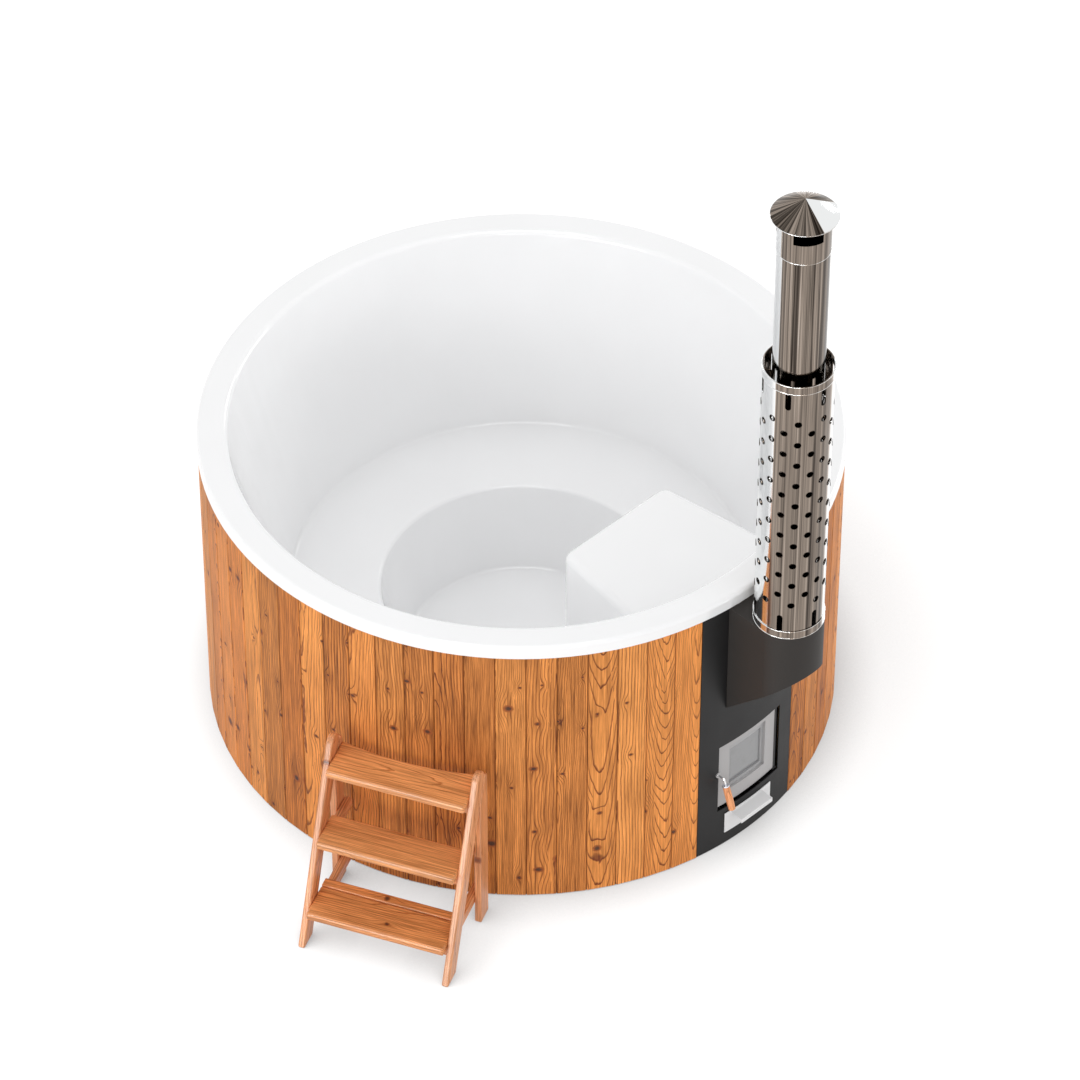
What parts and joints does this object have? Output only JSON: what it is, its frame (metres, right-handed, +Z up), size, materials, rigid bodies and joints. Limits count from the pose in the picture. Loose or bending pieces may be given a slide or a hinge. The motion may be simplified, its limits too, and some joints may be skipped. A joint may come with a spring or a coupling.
{
  "type": "hot tub",
  "caption": "Round board-clad tub with a white moulded liner, a built-in wood-fired heater behind a dark front panel, a guarded mirror-bright flue, a drain valve and free-standing steps.",
  "frame": {"origin": "centre of the tub's footprint on the floor, on the lower face of the middle base skid", "axes": "+Z up, -Y towards the heater's door, +X to the right for someone who faces the door from outside"},
  "size_m": [2.1101, 2.13, 2.372],
  "materials": {
    "shell_white": "glossy white moulded acrylic",
    "cladding_wood": "oiled heat-treated pine boards, orange-brown with knots",
    "frame_wood": "raw sawn spruce",
    "panel_dark": "anthracite powder coat",
    "housing_dark": "anthracite powder coat",
    "heater_black": "black heat-resistant paint",
    "grate_iron": "raw cast iron",
    "pipe_steel": "stainless",
    "gasket_rubber": "black",
    "grille_white": "white",
    "door_silver": "light silver-grey heat-resistant paint",
    "drawer_silver": "light silver-grey heat-resistant paint",
    "door_glass": "ceramic glass",
    "seal_rope": "braided glass-fibre rope",
    "hinge_dark": "dark grey",
    "rod_steel": "polished round wire",
    "ferrule_steel": "turned",
    "grip_wood": "oiled turned wood",
    "tray_steel": "folded sheet",
    "flue_mirror": "mirror-polished stainless",
    "guard_mirror": "mirror-polished stainless, perforated",
    "band_mirror": "mirror-polished stainless",
    "cap_mirror": "mirror-polished stainless",
    "drain_grey": "grey pipe plastic",
    "strainer_steel": "stainless",
    "valve_brass": "cast and turned",
    "lever_red": "red",
    "steps_frame_wood": "oiled heat-treated pine",
    "steps_tread_wood": "oiled heat-treated pine"
  },
  "bodies": {
    "tub": {"tub_shell": "shell_white", "cladding_boards": "cladding_wood", "wall_formers": "frame_wood", "wall_studs": "frame_wood", "base_skids": "frame_wood", "deck_planks": "frame_wood", "drain_plank_front": "frame_wood", "drain_plank_back": "frame_wood", "seat_posts": "frame_wood", "heater_panel": "panel_dark", "heater_body": "heater_black", "fire_grate": "grate_iron", "water_pipes": "pipe_steel", "pipe_gaskets": "gasket_rubber", "water_grilles": "grille_white", "door_neck": "heater_black", "smoke_duct": "heater_black", "hinge_lugs": "hinge_dark", "hinge_pin": "pipe_steel", "drawer_runners": "heater_black", "flue_housing": "housing_dark", "flue_collar": "heater_black", "flue_pipe": "flue_mirror", "heat_guard": "guard_mirror", "guard_top_band": "band_mirror", "guard_bottom_band": "band_mirror", "guard_spacers": "band_mirror", "cap_collar": "cap_mirror", "cap_cone": "cap_mirror", "drain_strainer": "strainer_steel", "drain_elbow": "drain_grey", "drain_pipe": "drain_grey", "valve_body": "valve_brass", "hose_tail": "valve_brass", "latch_keeper": "hinge_dark"},
    "door": {"door_face": "door_silver", "door_back": "door_silver", "door_glass": "door_glass", "glass_retainer": "heater_black", "door_seal": "seal_rope", "hinge_barrel": "hinge_dark"},
    "latch": {"latch_arm": "rod_steel", "latch_ferrule": "ferrule_steel", "latch_grip": "grip_wood", "latch_cam": "hinge_dark"},
    "ash_drawer": {"ash_tray": "tray_steel", "drawer_front": "drawer_silver", "drawer_pull": "drawer_silver"},
    "valve_lever": {"valve_lever": "lever_red"},
    "steps": {"stair_stringers": "steps_frame_wood", "stair_legs": "steps_frame_wood", "side_rails": "steps_frame_wood", "back_slat": "steps_tread_wood", "top_tread": "steps_tread_wood", "middle_tread": "steps_tread_wood", "bottom_tread": "steps_tread_wood"}
  },
  "joints": [
    {"name": "door_hinge", "type": "hinge", "parent": "tub", "child": "door", "pos_m": [0.119, -0.88, 0.272], "axis": [0, 0, 1], "range_deg": [0, 95]},
    {"name": "latch_turn", "type": "hinge", "parent": "door", "child": "latch", "pos_m": [-0.115, -0.892, 0.288], "axis": [0, -1, 0], "range_deg": [0, 90]},
    {"name": "drawer_slide", "type": "slide", "parent": "tub", "child": "ash_drawer", "axis": [0, -1, 0], "range_m": [0, 0.25]},
    {"name": "drain_lever", "type": "hinge", "parent": "tub", "child": "valve_lever", "pos_m": [0.12, 0.934, 0.05], "axis": [0, 0, 1], "range_deg": [0, 90]},
    {"name": "steps_away", "type": "slide", "parent": "tub", "child": "steps", "axis": [-0.9048, -0.4258, 0], "range_m": [0, 0.4]}
  ]
}
